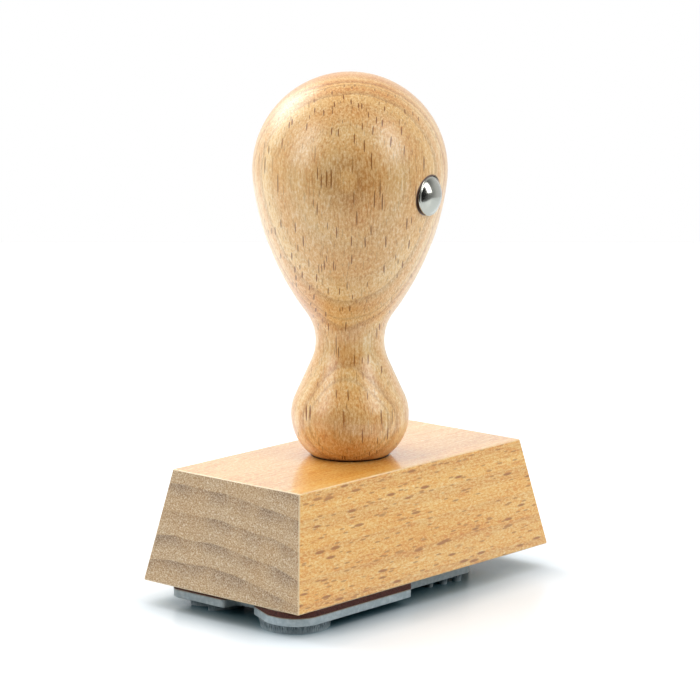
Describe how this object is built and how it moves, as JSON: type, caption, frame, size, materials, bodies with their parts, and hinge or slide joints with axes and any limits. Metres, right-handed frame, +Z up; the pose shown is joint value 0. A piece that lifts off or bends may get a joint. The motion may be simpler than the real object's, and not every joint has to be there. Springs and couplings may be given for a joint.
{
  "type": "rubber stamp",
  "caption": "Hand stamp: a turned pear-shaped wooden handle on a bevelled wooden block, with a domed marker nail and a cushioned rubber die cut round a leafy pattern.",
  "frame": {"origin": "on the printing face, under the middle of the block's footprint", "axes": "+Z up through the handle, +X along the block's long side, -Y towards the side that the marker nail points to"},
  "size_m": [0.0632, 0.0343, 0.0858],
  "materials": {
    "beech_block": "pale beech, fine flecks, satin clear lacquer",
    "beech_handle": "turned pale beech, vertical grain with short dark flecks, satin clear lacquer",
    "steel": "plain drawn steel",
    "nickel": "bright nickel plate",
    "adhesive": "clear adhesive film on a pale carrier",
    "foam": "dark red-brown cellular cushion rubber, open cells on its cut edge",
    "rubber": "laser-cut grey stamp rubber, matt, slightly powdery"
  },
  "bodies": {
    "root": {"mount_block": "beech_block", "handle": "beech_handle", "dowel_screw": "steel", "marker_cap": "nickel", "marker_nail": "steel", "upper_adhesive": "adhesive", "cushion_pad": "foam", "lower_adhesive": "adhesive", "rubber_die": "rubber"}
  },
  "joints": []
}
